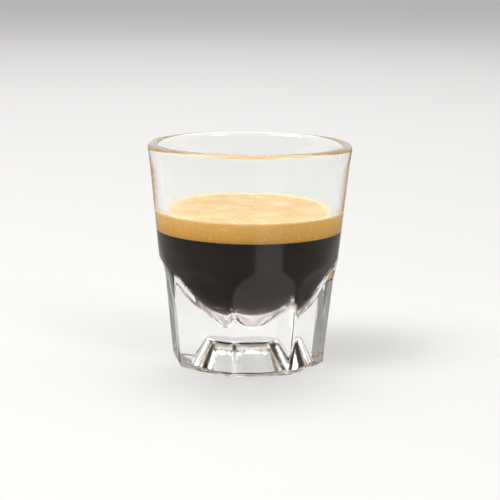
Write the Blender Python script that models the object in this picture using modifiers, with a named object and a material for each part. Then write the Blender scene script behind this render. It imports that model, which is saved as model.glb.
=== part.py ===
import math

import bmesh
import bpy
from mathutils import Matrix, Vector

# All lengths are in metres, and each corner is (radius, height, rounding)

# Bowl inside the glass: a rounded floor, a flared lower part, then a straight steeper wall
BOWL_FLOOR_HEIGHT = 0.01477
BOWL_FLOOR = (0.0028, BOWL_FLOOR_HEIGHT, 0.0099)
BOWL_BELLY = (0.0189, 0.02445, 0.0245)
BOWL_SHOULDER = (0.0288, 0.0495, 0.0050)

# Rim: a full rounding from the inner wall to the outer one
GLASS_HEIGHT = 0.0795
RIM_ROUNDING = 0.0017
RIM_INSIDE = (0.0331, GLASS_HEIGHT, RIM_ROUNDING)
RIM_OUTSIDE = (0.03677, GLASS_HEIGHT, RIM_ROUNDING)

# Outside: a cone that flares a little more over the last few millimetres
FLARE_START = (0.03575, 0.0720, 0.0600)
FOOT_RADIUS = 0.0285

# Recess under the foot
RECESS_DEPTH = 0.0105
RECESS_FOOT = (0.0164, 0.0, 0.0007)
RECESS_TOP = (0.0096, RECESS_DEPTH, 0.0020)

# Flat facets round the lower half, each ending above in a scooped arch
FACET_COUNT = 8
FACET_TURN = math.radians(10.7)
FACET_FOOT_INSET = 0.0260
FACET_LEAN = 0.0963
FACET_FLAT_TOP = 0.0300
SCOOP_RADIUS = 0.0134
SCOOP_SWEEP = math.radians(66.0)
SCOOP_STEPS = 20
FOOT_EDGE_ROUNDING = 0.0010
FOOT_EDGE_SWEEP = math.radians(75.0)
FOOT_EDGE_STEPS = 5

# The blocks that cut the facets reach past the glass by this much on every side
CUTTER_REACH = 0.0120
CUTTER_HALF_WIDTH = 0.0200
CUTTER_BELOW = 0.0010

# Drink: coffee with a layer of crema on it, each a little clear of what it touches
COFFEE_TOP = 0.04822
CREMA_TOP = 0.0556
TOUCH_GAP = 0.0003

# Smoothness of the turned shapes
TURN_STEPS = 80
ARC_TOLERANCE = 0.00002
ARC_STEP_LIMIT = math.radians(15.0)
SCREW_MERGE = 0.00001


def clear_scene():
    for obj in list(bpy.data.objects):
        bpy.data.objects.remove(obj, do_unlink=True)
    for collection in list(bpy.data.collections):
        bpy.data.collections.remove(collection)


def new_collection(name):
    collection = bpy.data.collections.new(name)
    bpy.context.scene.collection.children.link(collection)
    return collection


def new_material(name, color, roughness, alpha=1.0, transmission=0.0):
    material = bpy.data.materials.new(name)
    material.use_nodes = True
    material.diffuse_color = (*color, alpha)
    shader = material.node_tree.nodes["Principled BSDF"]
    shader.inputs["Base Color"].default_value = (*color, 1.0)
    shader.inputs["Roughness"].default_value = roughness
    shader.inputs["Transmission Weight"].default_value = transmission
    return material


def arc_points(corner, before, after, rounding):
    """Points of the arc that rounds a corner between the points before and after it."""
    back = (before - corner).normalized()
    ahead = (after - corner).normalized()
    half_angle = back.angle(ahead) / 2
    center = corner + (back + ahead).normalized() * rounding / math.sin(half_angle)
    start = corner + back * rounding / math.tan(half_angle) - center
    sweep = start.angle_signed(corner + ahead * rounding / math.tan(half_angle) - center)
    step = min(ARC_STEP_LIMIT, 2 * math.acos(1 - ARC_TOLERANCE / rounding))
    count = max(1, math.ceil(abs(sweep) / step))
    return [center + Matrix.Rotation(-sweep * i / count, 2) @ start for i in range(count + 1)]


def rounded_path(corners):
    """A path through (radius, z, rounding) corners, with every corner but its ends rounded."""
    places = [Vector(corner[:2]) for corner in corners]
    points = [places[0]]
    for i in range(1, len(corners) - 1):
        rounding = corners[i][2]
        if rounding:
            points += arc_points(places[i], places[i - 1], places[i + 1], rounding)
        else:
            points.append(places[i])
    points.append(places[-1])
    return points


def bowl_wall():
    """The inside of the glass as a path from its axis up to the rim."""
    mouth = (RIM_INSIDE[0], RIM_INSIDE[1], 0.0)
    return rounded_path([(0.0, BOWL_FLOOR_HEIGHT, 0.0), BOWL_FLOOR, BOWL_BELLY, BOWL_SHOULDER, mouth])


def inset(points, distance):
    """The path moved towards the inside of the bowl, square to itself."""
    moved = [points[0] + Vector((0.0, distance))]
    for before, point, after in zip(points, points[1:], points[2:] + points[-1:]):
        along = (after - before).normalized()
        moved.append(point + Vector((-along.y, along.x)) * distance)
    return moved


def between(points, low, high):
    """The part of a rising path between two heights, with a point made at each height that cuts it."""
    part = []
    for a, b in zip(points, points[1:]):
        for height in (low, high):
            if a.y < height <= b.y:
                part.append(a.lerp(b, (height - a.y) / (b.y - a.y)))
        if low < b.y < high:
            part.append(b)
    return sorted(part, key=lambda point: point.y)


def turned(name, points, collection, material):
    """A path of (radius, z) points turned about Z by a Screw modifier."""
    mesh = bpy.data.meshes.new(name)
    model = bmesh.new()
    verts = [model.verts.new((point.x, 0.0, point.y)) for point in points]
    for a, b in zip(verts, verts[1:]):
        model.edges.new((a, b))
    model.to_mesh(mesh)
    model.free()
    obj = bpy.data.objects.new(name, mesh)
    collection.objects.link(obj)
    mesh.materials.append(material)
    screw = obj.modifiers.new("Turn", "SCREW")
    screw.axis = "Z"
    screw.steps = TURN_STEPS
    screw.render_steps = TURN_STEPS
    screw.use_merge_vertices = True
    screw.merge_threshold = SCREW_MERGE
    screw.use_smooth_shade = True
    return obj


def facet_outline():
    """Section of a facet cutter as (distance from the axis, z), from under the foot edge to the scoop."""
    edge_z = FOOT_EDGE_ROUNDING
    edge_x = FACET_FOOT_INSET + FACET_LEAN * edge_z - FOOT_EDGE_ROUNDING
    outline = []
    for i in range(FOOT_EDGE_STEPS + 1):
        angle = FOOT_EDGE_SWEEP * (i / FOOT_EDGE_STEPS - 1)
        out = Vector((math.cos(angle), math.sin(angle)))
        outline.append(Vector((edge_x, edge_z)) + out * FOOT_EDGE_ROUNDING)
    down = (outline[0] - outline[1]).normalized()
    run = (outline[0].y + CUTTER_BELOW) / -down.y
    outline.insert(0, outline[0] + down * run)
    for i in range(SCOOP_STEPS + 1):
        angle = SCOOP_SWEEP * i / SCOOP_STEPS
        z = FACET_FLAT_TOP + SCOOP_RADIUS * math.sin(angle)
        out = SCOOP_RADIUS * (1.0 - math.cos(angle))
        outline.append(Vector((FACET_FOOT_INSET + FACET_LEAN * z + out, z)))
    return outline


def facet_cutter(index, collection):
    """A block outside one facet: its inner face runs round the foot edge, up the flat and out as a scoop."""
    outline = facet_outline()
    outer = outline[-1].x + CUTTER_REACH
    outline.append(Vector((outer, outline[-1].y)))
    outline.append(Vector((outer, outline[0].y)))
    mesh = bpy.data.meshes.new(f"facet_cutter_{index}")
    model = bmesh.new()
    verts = [model.verts.new((CUTTER_HALF_WIDTH, -point.x, point.y)) for point in outline]
    side = model.faces.new(verts)
    swept = bmesh.ops.extrude_face_region(model, geom=[side])["geom"]
    far_verts = [item for item in swept if isinstance(item, bmesh.types.BMVert)]
    bmesh.ops.translate(model, verts=far_verts, vec=Vector((-2 * CUTTER_HALF_WIDTH, 0.0, 0.0)))
    bmesh.ops.recalc_face_normals(model, faces=model.faces)
    turn = Matrix.Rotation(FACET_TURN + index * 2 * math.pi / FACET_COUNT, 3, "Z")
    bmesh.ops.rotate(model, verts=model.verts, cent=(0.0, 0.0, 0.0), matrix=turn)
    model.to_mesh(mesh)
    model.free()
    obj = bpy.data.objects.new(mesh.name, mesh)
    collection.objects.link(obj)
    obj.hide_render = True
    obj.display_type = "WIRE"
    return obj


def make_glass(parts, cutters):
    material = new_material("clear_glass", (0.96, 0.97, 0.96), 0.02, 0.35, 1.0)
    corners = [
        (0.0, BOWL_FLOOR_HEIGHT, 0.0),
        BOWL_FLOOR,
        BOWL_BELLY,
        BOWL_SHOULDER,
        RIM_INSIDE,
        RIM_OUTSIDE,
        FLARE_START,
        (FOOT_RADIUS, 0.0, 0.0),
        RECESS_FOOT,
        RECESS_TOP,
        (0.0, RECESS_DEPTH, 0.0),
    ]
    glass = turned("glass", rounded_path(corners), parts, material)
    for index in range(FACET_COUNT):
        cut = glass.modifiers.new(f"Facet {index}", "BOOLEAN")
        cut.operation = "DIFFERENCE"
        cut.object = facet_cutter(index, cutters)


def make_coffee(parts):
    material = new_material("coffee", (0.020, 0.010, 0.007), 0.1)
    wall = inset(bowl_wall(), TOUCH_GAP)
    top = COFFEE_TOP - TOUCH_GAP / 2
    side = [wall[0]] + between(wall, wall[0].y, top)
    turned("coffee", [Vector((0.0, top))] + side[::-1], parts, material)


def make_crema(parts):
    material = new_material("crema", (0.60, 0.38, 0.18), 0.6)
    low = COFFEE_TOP + TOUCH_GAP / 2
    side = between(inset(bowl_wall(), TOUCH_GAP), low, CREMA_TOP)
    ends = (Vector((0.0, CREMA_TOP)), Vector((0.0, low)))
    turned("crema", [ends[0]] + side[::-1] + [ends[1]], parts, material)


def main():
    clear_scene()
    parts = new_collection("double_espresso")
    cutters = new_collection("cutters")
    make_glass(parts, cutters)
    make_coffee(parts)
    make_crema(parts)


main()
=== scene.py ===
import math
import random

import bpy
from mathutils import Euler, Matrix, Vector, noise


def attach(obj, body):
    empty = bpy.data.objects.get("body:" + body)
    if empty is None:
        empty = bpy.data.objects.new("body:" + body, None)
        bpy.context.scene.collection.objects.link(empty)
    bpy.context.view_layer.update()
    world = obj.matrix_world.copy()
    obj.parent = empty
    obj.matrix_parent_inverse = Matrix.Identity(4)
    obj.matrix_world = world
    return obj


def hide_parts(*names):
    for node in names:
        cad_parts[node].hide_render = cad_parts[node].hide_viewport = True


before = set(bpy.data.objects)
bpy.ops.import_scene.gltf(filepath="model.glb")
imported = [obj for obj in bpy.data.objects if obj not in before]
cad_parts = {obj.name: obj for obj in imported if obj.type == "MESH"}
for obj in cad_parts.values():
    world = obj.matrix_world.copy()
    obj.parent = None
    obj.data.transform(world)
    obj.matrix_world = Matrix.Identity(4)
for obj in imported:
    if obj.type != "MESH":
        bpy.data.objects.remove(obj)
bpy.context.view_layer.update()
print("frame loaded")

mm = 0.001
fullTurn = math.radians(360)


# ---- small helpers

def deselectAll():
    if bpy.context.mode != "OBJECT":
        bpy.ops.object.mode_set(mode="OBJECT")
    bpy.ops.object.select_all(action="DESELECT")


def arcAt(corner, before, after, rounding, stepDegrees):
    # points of the arc that rounds one corner of a (radius, height) path
    back = (before - corner).normalized()
    ahead = (after - corner).normalized()
    half = back.angle(ahead) / 2
    centre = corner + (back + ahead).normalized() * rounding / math.sin(half)
    start = corner + back * rounding / math.tan(half) - centre
    sweep = start.angle_signed(corner + ahead * rounding / math.tan(half) - centre)
    count = max(2, math.ceil(abs(math.degrees(sweep)) / stepDegrees))
    return [centre + Matrix.Rotation(-sweep * i / count, 2) @ start for i in range(count + 1)]


def roundedPath(corners, stepDegrees=4.0, longest=2.0):
    # corners are (radius, height, rounding) in mm, long straight runs get points in between
    places = [Vector(corner[:2]) for corner in corners]
    rough = [places[0]]
    for i in range(1, len(corners) - 1):
        if corners[i][2]:
            rough += arcAt(places[i], places[i - 1], places[i + 1], corners[i][2], stepDegrees)
        else:
            rough.append(places[i])
    rough.append(places[-1])
    path = [rough[0]]
    for point in rough[1:]:
        last = path[-1]
        gap = (point - last).length
        if gap < 0.004:
            continue
        pieces = max(1, math.ceil(gap / longest))
        path += [last.lerp(point, i / pieces) for i in range(1, pieces + 1)]
    return path


def radiusAt(path, height):
    # radius of a rising (radius, height) path at one height
    for a, b in zip(path, path[1:]):
        if a.y <= height <= b.y and b.y > a.y:
            return a.x + (b.x - a.x) * (height - a.y) / (b.y - a.y)
    return path[0].x if height < path[0].y else path[-1].x


def turnProfile(name, path, steps):
    # one corner of a small plane is drawn along the path, then turned round the axis
    deselectAll()
    bpy.ops.mesh.primitive_plane_add(size=0.001, location=(0, 0, 0))
    piece = bpy.context.object
    piece.name = name
    piece.data.name = name
    bpy.ops.object.mode_set(mode="EDIT")
    bpy.ops.mesh.select_all(action="SELECT")
    bpy.ops.mesh.merge(type="CENTER")
    bpy.ops.transform.translate(value=(path[0].x * mm, 0, path[0].y * mm))
    for a, b in zip(path, path[1:]):
        step = (b - a) * mm
        bpy.ops.mesh.extrude_region_move(TRANSFORM_OT_translate={"value": (step.x, 0, step.y)})
    bpy.ops.object.mode_set(mode="OBJECT")
    screw = piece.modifiers.new("turn", "SCREW")
    screw.steps = steps
    screw.render_steps = steps
    screw.use_merge_vertices = True
    screw.merge_threshold = 0.000001
    bpy.ops.object.modifier_apply(modifier="turn")
    bpy.ops.object.mode_set(mode="EDIT")
    bpy.ops.mesh.select_all(action="SELECT")
    bpy.ops.mesh.remove_doubles(threshold=0.000002)
    bpy.ops.mesh.normals_make_consistent(inside=False)
    bpy.ops.object.mode_set(mode="OBJECT")
    bpy.ops.object.shade_smooth()
    return piece


def newMaterial(name):
    material = bpy.data.materials.new(name)
    material.use_nodes = True
    nodes = material.node_tree.nodes
    return material, nodes, material.node_tree.links, nodes["Principled BSDF"]


def addNode(nodes, kind, **settings):
    node = nodes.new(kind)
    for key, value in settings.items():
        setattr(node, key, value)
    return node


def mathNode(nodes, links, operation, first, second=None, clamp=False):
    node = addNode(nodes, "ShaderNodeMath", operation=operation, use_clamp=clamp)
    for socket, value in zip(node.inputs, (first, second)):
        if value is None:
            continue
        if isinstance(value, (int, float)):
            socket.default_value = value
        else:
            links.new(value, socket)
    return node.outputs[0]


def rampNode(nodes, links, source, stops, interpolation="LINEAR"):
    ramp = addNode(nodes, "ShaderNodeValToRGB")
    ramp.color_ramp.interpolation = interpolation
    links.new(source, ramp.inputs["Fac"])
    elements = ramp.color_ramp.elements
    while len(elements) < len(stops):
        elements.new(0.5)
    for element, (place, colour) in zip(elements, stops):
        element.position = place
        element.color = (*colour, 1) if isinstance(colour, tuple) else (colour, colour, colour, 1)
    return ramp.outputs["Color"]


def rangeNode(nodes, links, source, low, high, outLow=0.0, outHigh=1.0, smooth=True):
    node = addNode(nodes, "ShaderNodeMapRange")
    node.interpolation_type = "SMOOTHSTEP" if smooth else "LINEAR"
    links.new(source, node.inputs["Value"])
    node.inputs["From Min"].default_value = low
    node.inputs["From Max"].default_value = high
    node.inputs["To Min"].default_value = outLow
    node.inputs["To Max"].default_value = outHigh
    return node.outputs["Result"]


def noiseNode(nodes, links, place, scale, detail=3.0, rough=0.5):
    node = addNode(nodes, "ShaderNodeTexNoise")
    node.inputs["Scale"].default_value = scale
    node.inputs["Detail"].default_value = detail
    node.inputs["Roughness"].default_value = rough
    links.new(place, node.inputs["Vector"])
    return node.outputs["Fac"]


def mixColour(nodes, links, factor, first, second):
    node = addNode(nodes, "ShaderNodeMix", data_type="RGBA")
    for socket, value in ((node.inputs[0], factor), (node.inputs[6], first), (node.inputs[7], second)):
        if isinstance(value, (int, float)):
            socket.default_value = value
        elif isinstance(value, tuple):
            socket.default_value = (*value, 1)
        else:
            links.new(value, socket)
    return node.outputs[2]


def placeGroup():
    # gives height and distance from the axis in mm, from Object coordinates
    group = bpy.data.node_groups.new("placeOnGlass", "ShaderNodeTree")
    group.interface.new_socket(name="Place", in_out="INPUT", socket_type="NodeSocketVector")
    group.interface.new_socket(name="Height", in_out="OUTPUT", socket_type="NodeSocketFloat")
    group.interface.new_socket(name="Radius", in_out="OUTPUT", socket_type="NodeSocketFloat")
    group.interface.new_socket(name="Angle", in_out="OUTPUT", socket_type="NodeSocketFloat")
    nodes, links = group.nodes, group.links
    start = addNode(nodes, "NodeGroupInput")
    end = addNode(nodes, "NodeGroupOutput")
    parts = addNode(nodes, "ShaderNodeSeparateXYZ")
    links.new(start.outputs["Place"], parts.inputs[0])
    flat = addNode(nodes, "ShaderNodeCombineXYZ")
    links.new(parts.outputs["X"], flat.inputs["X"])
    links.new(parts.outputs["Y"], flat.inputs["Y"])
    size = addNode(nodes, "ShaderNodeVectorMath", operation="LENGTH")
    links.new(flat.outputs[0], size.inputs[0])
    links.new(mathNode(nodes, links, "MULTIPLY", parts.outputs["Z"], 1000.0), end.inputs["Height"])
    links.new(mathNode(nodes, links, "MULTIPLY", size.outputs["Value"], 1000.0), end.inputs["Radius"])
    links.new(mathNode(nodes, links, "ARCTAN2", parts.outputs["Y"], parts.outputs["X"]), end.inputs["Angle"])
    return group


placeTree = placeGroup()


def placeNode(nodes, links):
    coordinates = addNode(nodes, "ShaderNodeTexCoord")
    where = addNode(nodes, "ShaderNodeGroup", node_tree=placeTree)
    links.new(coordinates.outputs["Object"], where.inputs["Place"])
    return coordinates.outputs["Object"], where.outputs


def dress(piece, material, slotName, *nodeNames):
    piece.data.materials.clear()
    piece.data.materials.append(material)
    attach(piece, "root")
    if nodeNames:
        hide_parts(*nodeNames)


# ---- glass

# all lengths in mm, corners are (radius, height, rounding)
glassShape = {
    "height": 79.5,
    "bowl": [(0, 14.77, 0), (2.8, 14.77, 9.9), (18.9, 24.45, 24.5), (28.8, 49.5, 5.0)],
    "rim": [(33.1, 79.5, 1.7), (36.77, 79.5, 1.7)],
    "flareStart": (35.75, 72.0, 60.0),
    "coneFoot": 28.5,
    "coneSlope": 0.10066,
    "footEdge": 1.0,
    "recess": [(16.4, 0, 0.7), (9.6, 10.5, 2.0), (0, 10.5, 0)],
    "facets": 8,
    "facetTurn": 10.7,
    "facetInset": 26.0,
    "facetLean": 0.0963,
    "flatTop": 30.0,
    "scoop": 13.4,
    "edgeSoft": 0.9,
    "steps": 448,
    "edgeDensity": 0.62,
}

bowlPath = roundedPath(glassShape["bowl"] + [(33.1, 79.5, 0)], 3.0, 2.0)


def softMin(a, b, width):
    share = min(max(0.5 + 0.5 * (b - a) / width, 0.0), 1.0)
    return b * (1 - share) + a * share - width * share * (1 - share)


def coneRadius(height):
    return glassShape["coneFoot"] + glassShape["coneSlope"] * height


def facetDistance(height):
    # distance of a facet from the axis: flat below, then a scoop that runs out of the cone
    reach = glassShape["scoop"]
    rise = min(max(height - glassShape["flatTop"], 0.0), reach * 0.97)
    out = reach - math.sqrt(reach * reach - rise * rise)
    beyond = max(height - glassShape["flatTop"] - reach * 0.97, 0.0)
    return glassShape["facetInset"] + glassShape["facetLean"] * height + out + beyond * 4


def outsideRadius(angle, height):
    # angle from the front (-Y) towards +X
    period = fullTurn / glassShape["facets"]
    turn = math.radians(glassShape["facetTurn"])
    across = (angle - turn + period / 2) % period - period / 2
    distance = facetDistance(height)
    soft = glassShape["edgeSoft"]
    here = distance / math.cos(across)
    nextOne = distance / math.cos(period - abs(across))
    return softMin(softMin(here, nextOne, soft), coneRadius(height), soft)


def glassProfile():
    shape = glassShape
    flare = shape["flareStart"]
    corners = shape["bowl"] + shape["rim"] + [flare, (coneRadius(60), 60, 0)]
    path = roundedPath(corners, 4.0, 2.2)
    heights = [58 - 2.0 * i for i in range(9)]
    heights += [42 - 0.36 * i for i in range(40)]
    heights += [27.5 - 1.9 * i for i in range(14)] + [1.8]
    path += [Vector((coneRadius(z), z)) for z in heights]
    edge = shape["footEdge"]
    under = [(coneRadius(1.8), 1.8, 0), (coneRadius(0), 0, edge), *shape["recess"]]
    path += roundedPath(under, 8.0, 1.6)[1:]
    return path


def shapeFacets(piece):
    # columns are drawn together at the facet edges, then the outside is moved onto the facets
    period = fullTurn / glassShape["facets"]
    turn = math.radians(glassShape["facetTurn"])
    recessFoot = glassShape["recess"][0][0]
    innerAt = {}
    for vert in piece.data.vertices:
        x, y, z = vert.co
        radius = math.hypot(x, y) / mm
        height = z / mm
        if radius < 0.01:
            continue
        row = round(height, 3)
        if row not in innerAt:
            innerAt[row] = radiusAt(bowlPath, height) if height > bowlPath[0].y else recessFoot - 0.8
        angle = math.atan2(x, -y)
        turns = ((angle - turn + period / 2) / period) % glassShape["facets"]
        share = turns - math.floor(turns)
        share -= glassShape["edgeDensity"] * math.sin(fullTurn * share) / fullTurn
        angle = (math.floor(turns) + share) * period + turn - period / 2
        cone = coneRadius(height)
        outside = height < 60.5 and radius > (innerAt[row] + cone) / 2
        if outside or (height < 0.05 and radius > recessFoot):
            share = min(max((radius - recessFoot) / (cone - recessFoot), 0.0), 1.0)
            radius += share * (outsideRadius(angle, height) - cone)
        vert.co = (radius * mm * math.sin(angle), -radius * mm * math.cos(angle), z)


glass = turnProfile("glassTumbler", glassProfile(), glassShape["steps"])
shapeFacets(glass)
print("glass shaped", len(glass.data.polygons), "faces")

glassFinish = {
    "palest": (0.985, 0.992, 0.985),
    "deepest": (0.962, 0.975, 0.965),
    "bend": 1.52,
    "underRough": 0.16,
    "waviness": 0.35,
    "stipple": 0.6,
    "ribs": 150,
    "greenPerMetre": 5.0,
}


def glassMaterial():
    material, nodes, links, shader = newMaterial("clearGlass")
    place, where = placeNode(nodes, links)
    cloud = noiseNode(nodes, links, place, 60.0, 2.0)
    colour = mixColour(nodes, links, cloud, glassFinish["deepest"], glassFinish["palest"])
    links.new(colour, shader.inputs["Base Color"])
    shader.inputs["Metallic"].default_value = 0.0
    shader.inputs["Transmission Weight"].default_value = 1.0
    shader.inputs["IOR"].default_value = glassFinish["bend"]
    # underside: a little frosted in the recess, stippled where it stands
    low = rangeNode(nodes, links, where["Height"], 11.5, 10.6)
    narrow = rangeNode(nodes, links, where["Radius"], 16.6, 15.6)
    recess = mathNode(nodes, links, "MULTIPLY", low, narrow)
    foot = rangeNode(nodes, links, where["Height"], 0.25, 0.05)
    under = mathNode(nodes, links, "MAXIMUM", recess, foot)
    patch = noiseNode(nodes, links, place, 420.0, 3.0)
    patchy = rangeNode(nodes, links, patch, 0.3, 0.7, 0.4, 1.0)
    rough = mathNode(nodes, links, "MULTIPLY", under, patchy)
    links.new(mathNode(nodes, links, "MULTIPLY", rough, glassFinish["underRough"]), shader.inputs["Roughness"])
    # soft waves all over, as pressed glass has
    waves = noiseNode(nodes, links, place, 95.0, 1.0, 0.4)
    grain = noiseNode(nodes, links, place, 700.0, 2.0, 0.6)
    ribAngle = mathNode(nodes, links, "MULTIPLY", where["Angle"], glassFinish["ribs"])
    ribs = mathNode(nodes, links, "SINE", ribAngle)
    stipple = mathNode(nodes, links, "ADD", mathNode(nodes, links, "MULTIPLY", ribs, 0.5), grain)
    stippled = mathNode(nodes, links, "MULTIPLY", stipple, foot)
    grained = mathNode(nodes, links, "MULTIPLY", grain, recess)
    fine = mathNode(nodes, links, "ADD", mathNode(nodes, links, "MULTIPLY", stippled, 1.0), mathNode(nodes, links, "MULTIPLY", grained, 0.35))
    wavy = addNode(nodes, "ShaderNodeBump")
    wavy.inputs["Strength"].default_value = glassFinish["waviness"]
    wavy.inputs["Distance"].default_value = 0.0002
    links.new(waves, wavy.inputs["Height"])
    rough = addNode(nodes, "ShaderNodeBump")
    rough.inputs["Strength"].default_value = glassFinish["stipple"]
    rough.inputs["Distance"].default_value = 0.00015
    links.new(fine, rough.inputs["Height"])
    links.new(wavy.outputs["Normal"], rough.inputs["Normal"])
    links.new(rough.outputs["Normal"], shader.inputs["Normal"])
    # light from lamps passes through, so that the floor under the glass isn't black
    path = addNode(nodes, "ShaderNodeLightPath")
    clear = addNode(nodes, "ShaderNodeBsdfTransparent")
    clear.inputs["Color"].default_value = (0.93, 0.94, 0.93, 1)
    both = addNode(nodes, "ShaderNodeMixShader")
    links.new(path.outputs["Is Shadow Ray"], both.inputs["Fac"])
    links.new(shader.outputs["BSDF"], both.inputs[1])
    links.new(clear.outputs["BSDF"], both.inputs[2])
    output = nodes["Material Output"]
    links.new(both.outputs["Shader"], output.inputs["Surface"])
    return material


dress(glass, glassMaterial(), "clear_glass", "glass")


# ---- coffee

coffeeShape = {"top": 48.22, "intoWall": 0.12, "steps": 360}


def outward(path, distance):
    # the path moved square to itself, away from the bowl's inside
    moved = [path[0] - Vector((0, distance))]
    for before, point, after in zip(path, path[1:], path[2:] + path[-1:]):
        along = (after - before).normalized()
        moved.append(point + Vector((along.y, -along.x)) * distance)
    return moved


def cutBetween(path, low, high):
    ends = [Vector((radiusAt(path, z), z)) for z in (low, high)]
    inner = [point for point in path if low + 0.02 < point.y < high - 0.02]
    return [ends[0]] + inner + [ends[1]]


drinkWall = outward(bowlPath, coffeeShape["intoWall"])


def coffeeProfile():
    top = coffeeShape["top"]
    side = [point for point in drinkWall if point.y < top - 0.02] + [Vector((radiusAt(drinkWall, top), top))]
    return side + [Vector((side[-1].x * share, top)) for share in (0.98, 0.66, 0.33, 0.0)]


coffee = turnProfile("coffee", coffeeProfile(), coffeeShape["steps"])
coffee.data.set_sharp_from_angle(angle=math.radians(50))

coffeeFinish = {
    "deep": (0.0105, 0.0040, 0.0022),
    # painted glow: the redder colour low in the bowl stands in for light shining through the thin coffee there
    "paintedGlow": (0.075, 0.020, 0.009),
    "bend": 0.885,     # against the glass it touches, so it mirrors at low angles
}


def coffeeMaterial():
    material, nodes, links, shader = newMaterial("coffee")
    place, where = placeNode(nodes, links)
    cloud = noiseNode(nodes, links, place, 120.0, 3.0)
    height = mathNode(nodes, links, "ADD", where["Height"], mathNode(nodes, links, "MULTIPLY", cloud, 2.0))
    # painted glow: below about 29 mm the coffee is painted redder and lighter, for light shining through thin coffee
    paintedGlow = rangeNode(nodes, links, height, 29.0, 19.5)
    colour = mixColour(nodes, links, paintedGlow, coffeeFinish["deep"], coffeeFinish["paintedGlow"])
    links.new(colour, shader.inputs["Base Color"])
    shader.inputs["IOR"].default_value = coffeeFinish["bend"]
    links.new(rangeNode(nodes, links, cloud, 0.3, 0.7, 0.0, 0.03), shader.inputs["Roughness"])
    return material


dress(coffee, coffeeMaterial(), "coffee", "coffee")
print("coffee shaped")


# ---- crema

cremaShape = {
    "low": 48.24,
    "level": 55.25,
    "lip": 55.55,
    "lipRagged": 0.55,
    "steps": 360,
}


def cremaProfile():
    low, level, lip = cremaShape["low"], cremaShape["level"], cremaShape["lip"]
    side = cutBetween(drinkWall, low, lip)
    wall = side[-1].x
    start = [Vector((side[0].x * share, low)) for share in (0.0, 0.33, 0.66, 0.98)]
    top = [Vector((wall - 0.3, lip + 0.02)), Vector((wall - 0.6, lip - 0.04)), Vector((wall - 1.0, lip - 0.14))]
    top += [Vector((wall - 1.5, lip - 0.22)), Vector((wall - 2.1, level + 0.04))]
    inner = wall - 2.1
    top += [Vector((inner * (1 - i / 46), level)) for i in range(1, 47)]
    return start + side + top


def ruffle(piece):
    # the lip climbs the wall unevenly, and the top is a little lumpy
    level, lip = cremaShape["level"], cremaShape["lip"]
    wall = radiusAt(drinkWall, lip)
    for vert in piece.data.vertices:
        x, y, z = vert.co / mm
        if z < level - 0.1:
            continue
        radius = math.hypot(x, y)
        near = min(max((radius - wall + 1.6) / 1.6, 0.0), 1.0)
        spikes = noise.noise(Vector((x * 0.9, y * 0.9, 3.1))) * 0.6
        spikes += noise.noise(Vector((x * 2.4, y * 2.4, 7.7))) * 0.5
        spikes += abs(noise.noise(Vector((x * 5.0, y * 5.0, 1.3)))) * 0.45
        lumps = noise.noise(Vector((x * 0.16, y * 0.16, 9.0))) * 0.22
        lumps += noise.noise(Vector((x * 0.9, y * 0.9, 5.0))) * 0.05
        lift = lumps * (1 - near) + (0.1 + max(spikes, -0.25)) * cremaShape["lipRagged"] * near
        vert.co.z += lift * mm


crema = turnProfile("crema", cremaProfile(), cremaShape["steps"])
ruffle(crema)
crema.data.set_sharp_from_angle(angle=math.radians(60))

cremaFinish = {
    "sideLow": (0.66, 0.335, 0.050),
    "sideHigh": (0.78, 0.44, 0.105),
    "froth": (0.90, 0.68, 0.36),
    "top": (0.74, 0.455, 0.19),
    "topPale": (0.84, 0.60, 0.32),
}


def cremaMaterial():
    material, nodes, links, shader = newMaterial("crema")
    place, where = placeNode(nodes, links)
    cloud = noiseNode(nodes, links, place, 130.0, 4.0, 0.6)
    grain = noiseNode(nodes, links, place, 900.0, 3.0, 0.6)
    cells = addNode(nodes, "ShaderNodeTexVoronoi")
    cells.inputs["Scale"].default_value = 1500.0
    links.new(place, cells.inputs["Vector"])
    # side, seen through the glass: deeper below, paler above
    wobble = mathNode(nodes, links, "ADD", where["Height"], mathNode(nodes, links, "MULTIPLY", cloud, 2.4))
    rise = rangeNode(nodes, links, wobble, 49.8, 57.0)
    side = mixColour(nodes, links, rise, cremaFinish["sideLow"], cremaFinish["sideHigh"])
    fleck = rangeNode(nodes, links, grain, 0.52, 0.70, 0.0, 0.35)
    side = mixColour(nodes, links, fleck, side, cremaFinish["froth"])
    # top: tan froth with paler flecks
    tan = mixColour(nodes, links, rangeNode(nodes, links, cloud, 0.35, 0.7), cremaFinish["top"], cremaFinish["topPale"])
    tan = mixColour(nodes, links, rangeNode(nodes, links, cells.outputs["Distance"], 0.35, 0.05, 0.0, 0.3), tan, cremaFinish["froth"])
    # the lip against the wall is the palest
    lipRise = rangeNode(nodes, links, where["Height"], 54.7, 55.4)
    outer = rangeNode(nodes, links, where["Radius"], 27.6, 28.9)
    flat = addNode(nodes, "ShaderNodeSeparateXYZ")
    geometry = addNode(nodes, "ShaderNodeNewGeometry")
    links.new(geometry.outputs["Normal"], flat.inputs[0])
    facesUp = rangeNode(nodes, links, flat.outputs["Z"], 0.25, 0.75)
    lip = mathNode(nodes, links, "MULTIPLY", lipRise, outer)
    colour = mixColour(nodes, links, facesUp, side, tan)
    colour = mixColour(nodes, links, lip, colour, cremaFinish["froth"])
    links.new(colour, shader.inputs["Base Color"])
    links.new(rangeNode(nodes, links, grain, 0.3, 0.7, 0.45, 0.75), shader.inputs["Roughness"])
    shader.inputs["Subsurface Weight"].default_value = 0.35
    shader.inputs["Subsurface Scale"].default_value = 0.0012
    shader.inputs["Subsurface Radius"].default_value = (1.0, 0.6, 0.3)
    shader.inputs["IOR"].default_value = 1.33
    bumps = mathNode(nodes, links, "ADD", mathNode(nodes, links, "MULTIPLY", cells.outputs["Distance"], 0.6), grain)
    bump = addNode(nodes, "ShaderNodeBump")
    bump.inputs["Strength"].default_value = 0.5
    bump.inputs["Distance"].default_value = 0.00018
    links.new(bumps, bump.inputs["Height"])
    links.new(bump.outputs["Normal"], shader.inputs["Normal"])
    return material


dress(crema, cremaMaterial(), "crema", "crema")
print("crema shaped")


# ---- bubbles on the crema

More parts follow.
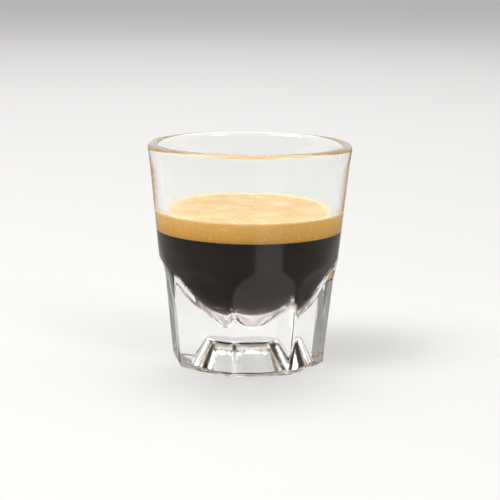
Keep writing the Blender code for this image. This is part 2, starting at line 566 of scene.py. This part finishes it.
bubbleSpread = {"many": 420, "smallest": 0.10, "largest": 0.36, "seed": 11}


def makeBubbles():
    random.seed(bubbleSpread["seed"])
    deselectAll()
    bpy.ops.mesh.primitive_ico_sphere_add(subdivisions=1, radius=1.0)
    pattern = bpy.context.object
    pattern.data.name = "bubblePattern"
    lip = radiusAt(drinkWall, cremaShape["lip"])
    copies = []
    for i in range(bubbleSpread["many"]):
        size = bubbleSpread["smallest"] + (bubbleSpread["largest"] - bubbleSpread["smallest"]) * random.random() ** 3
        edge = i % 3 == 0
        reach = lip - 0.5 - 1.4 * random.random() ** 2 if edge else (lip - 1.5) * math.sqrt(random.random())
        angle = random.uniform(0, fullTurn)
        x, y = reach * math.cos(angle), reach * math.sin(angle)
        height = cremaShape["level"] + noise.noise(Vector((x * 0.16, y * 0.16, 9.0))) * 0.22
        if edge:
            height += 0.1
        copy = bpy.data.objects.new(f"bubble{i}", pattern.data.copy())
        bpy.context.collection.objects.link(copy)
        for vert in copy.data.vertices:
            vert.co = Vector((x, y, height + size * 0.15)) * mm + vert.co * size * mm
        copies.append(copy)
    bpy.data.objects.remove(pattern)
    deselectAll()
    for copy in copies:
        copy.select_set(True)
    bpy.context.view_layer.objects.active = copies[0]
    bpy.ops.object.join()
    bubbles = bpy.context.object
    bubbles.name = "cremaBubbles"
    bubbles.data.name = "cremaBubbles"
    bpy.ops.object.shade_smooth()
    return bubbles


def bubbleMaterial():
    material, nodes, links, shader = newMaterial("frothBubbles")
    place, where = placeNode(nodes, links)
    tint = noiseNode(nodes, links, place, 500.0, 2.0)
    colour = mixColour(nodes, links, tint, (0.80, 0.56, 0.29), (0.95, 0.82, 0.58))
    links.new(colour, shader.inputs["Base Color"])
    links.new(rangeNode(nodes, links, tint, 0.3, 0.7, 0.08, 0.25), shader.inputs["Roughness"])
    shader.inputs["IOR"].default_value = 1.33
    return material


bubbles = makeBubbles()
dress(bubbles, bubbleMaterial(), "crema")
print("bubbles shaped")


# ---- stage, light and camera

stageLook = {
    "floor": (0.80, 0.79, 0.775),
    "size": 16.0,
    # painted shade and painted light: how bright the floor's colour is in reflections, in front and in the painted
    # bright strip
    "paintedReflectionShade": 0.35,
    "paintedStripBright": 1.0,
}


def makeFloor():
    deselectAll()
    bpy.ops.mesh.primitive_plane_add(size=stageLook["size"], location=(0, 0, 0))
    floor = bpy.context.object
    floor.name = "studioFloor"
    material, nodes, links, shader = newMaterial("paleFloor")
    place = addNode(nodes, "ShaderNodeTexCoord").outputs["Object"]
    # painted shade and painted light: in the glass's own reflection the floor's colour is darkened in front, apart from
    # a painted bright strip to the right
    parts = addNode(nodes, "ShaderNodeSeparateXYZ")
    links.new(place, parts.inputs[0])
    toRight = mathNode(nodes, links, "ARCTAN2", parts.outputs["X"], mathNode(nodes, links, "MULTIPLY", parts.outputs["Y"], -1.0))
    into = rangeNode(nodes, links, toRight, math.radians(2), math.radians(14))
    outOf = rangeNode(nodes, links, toRight, math.radians(44), math.radians(34))
    paintedLightStrip = mathNode(nodes, links, "MULTIPLY", into, outOf)
    level = rangeNode(nodes, links, paintedLightStrip, 0.0, 1.0, stageLook["paintedReflectionShade"], stageLook["paintedStripBright"])
    path = addNode(nodes, "ShaderNodeLightPath")
    mirrored = mathNode(nodes, links, "MULTIPLY", path.outputs["Is Reflection Ray"], path.outputs["Is Glossy Ray"])
    level = mathNode(nodes, links, "ADD", 1.0, mathNode(nodes, links, "MULTIPLY", mirrored, mathNode(nodes, links, "SUBTRACT", level, 1.0)))
    cloud = noiseNode(nodes, links, place, 3.0, 2.0)
    colour = mixColour(nodes, links, rangeNode(nodes, links, cloud, 0.2, 0.8, 0.0, 0.15), stageLook["floor"], (0.76, 0.75, 0.74))
    scaled = addNode(nodes, "ShaderNodeVectorMath", operation="SCALE")
    links.new(colour, scaled.inputs[0])
    links.new(level, scaled.inputs["Scale"])
    links.new(scaled.outputs[0], shader.inputs["Base Color"])
    shader.inputs["Roughness"].default_value = 0.9
    shader.inputs["Specular IOR Level"].default_value = 0.1
    floor.data.materials.append(material)
    return floor


def makeWorld():
    world = bpy.data.worlds.new("softStudio")
    bpy.context.scene.world = world
    world.use_nodes = True
    nodes, links = world.node_tree.nodes, world.node_tree.links
    background = nodes["Background"]
    coordinates = addNode(nodes, "ShaderNodeTexCoord")
    parts = addNode(nodes, "ShaderNodeSeparateXYZ")
    links.new(coordinates.outputs["Generated"], parts.inputs[0])
    toBack = rangeNode(nodes, links, parts.outputs["Y"], -0.5, 0.35)
    colour = mixColour(nodes, links, toBack, (0.42, 0.42, 0.43), (0.93, 0.925, 0.915))
    links.new(colour, background.inputs["Color"])
    background.inputs["Strength"].default_value = 0.8


def addLamp(name, place, size, power, aim=(0, 0, 0.04)):
    lamp = bpy.data.lights.new(name, "AREA")
    lamp.shape = "RECTANGLE"
    lamp.size, lamp.size_y = size
    lamp.energy = power
    holder = bpy.data.objects.new(name, lamp)
    bpy.context.collection.objects.link(holder)
    holder.location = place
    holder.rotation_euler = (Vector(aim) - Vector(place)).to_track_quat("-Z", "Y").to_euler()
    return holder


def makeCamera():
    camera = bpy.data.cameras.new("photoView")
    holder = bpy.data.objects.new("photoView", camera)
    bpy.context.collection.objects.link(holder)
    camera.sensor_width = 36
    camera.lens = 113.1
    camera.clip_start = 0.01
    tilt = Euler((math.radians(90 - 10.85), 0, 0)).to_matrix().to_4x4()
    roll = Matrix.Rotation(math.radians(0.70), 4, "Z")
    holder.matrix_world = Matrix.Translation((0.00048, -0.559, 0.1475)) @ tilt @ roll
    bpy.context.scene.camera = holder


makeFloor()
makeWorld()
addLamp("frontLeft", (-0.9, -0.5, 1.1), (0.8, 0.8), 12)
addLamp("frontRight", (0.9, -0.9, 0.9), (0.4, 0.9), 6)
addLamp("overBack", (0.0, 1.2, 1.6), (1.2, 0.8), 10, (0, 0.4, 0))
makeCamera()

scene = bpy.context.scene
scene.view_settings.view_transform = "Standard"
scene.cycles.max_bounces = 32
scene.cycles.transmission_bounces = 32
scene.cycles.glossy_bounces = 16
scene.cycles.diffuse_bounces = 4
print("stage ready")
